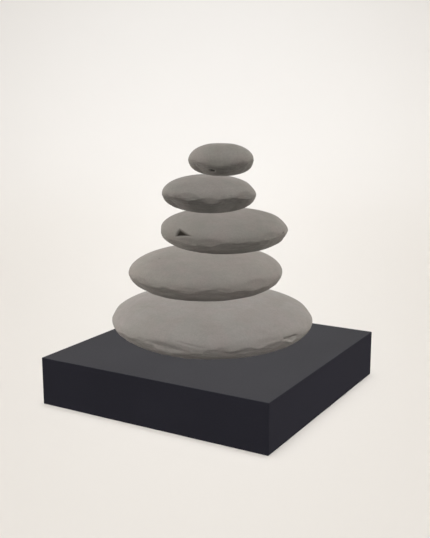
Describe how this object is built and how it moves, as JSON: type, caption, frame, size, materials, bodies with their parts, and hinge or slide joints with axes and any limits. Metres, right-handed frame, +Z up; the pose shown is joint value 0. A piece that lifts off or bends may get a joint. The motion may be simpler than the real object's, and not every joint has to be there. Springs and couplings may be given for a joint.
{
  "type": "stone cairn",
  "caption": "Table-top cairn of flat grey river stones balanced one on another, from wide to small, on a thin square black plinth.",
  "frame": {"origin": "middle of the plinth's underside", "axes": "+Z up the stack, X and Y along the plinth's sides"},
  "size_m": [0.2, 0.2, 0.2032],
  "materials": {
    "plinth_lacquer": "satin black lacquer",
    "base_rock": "water-worn, fine grained",
    "second_rock": "water-worn, fine grained",
    "middle_rock": "water-worn, fine grained",
    "fourth_rock": "water-worn, fine grained",
    "top_rock": "water-worn, fine grained"
  },
  "bodies": {
    "root": {"plinth": "plinth_lacquer", "base_stone": "base_rock", "second_stone": "second_rock", "middle_stone": "middle_rock", "fourth_stone": "fourth_rock", "top_stone": "top_rock"}
  },
  "joints": []
}
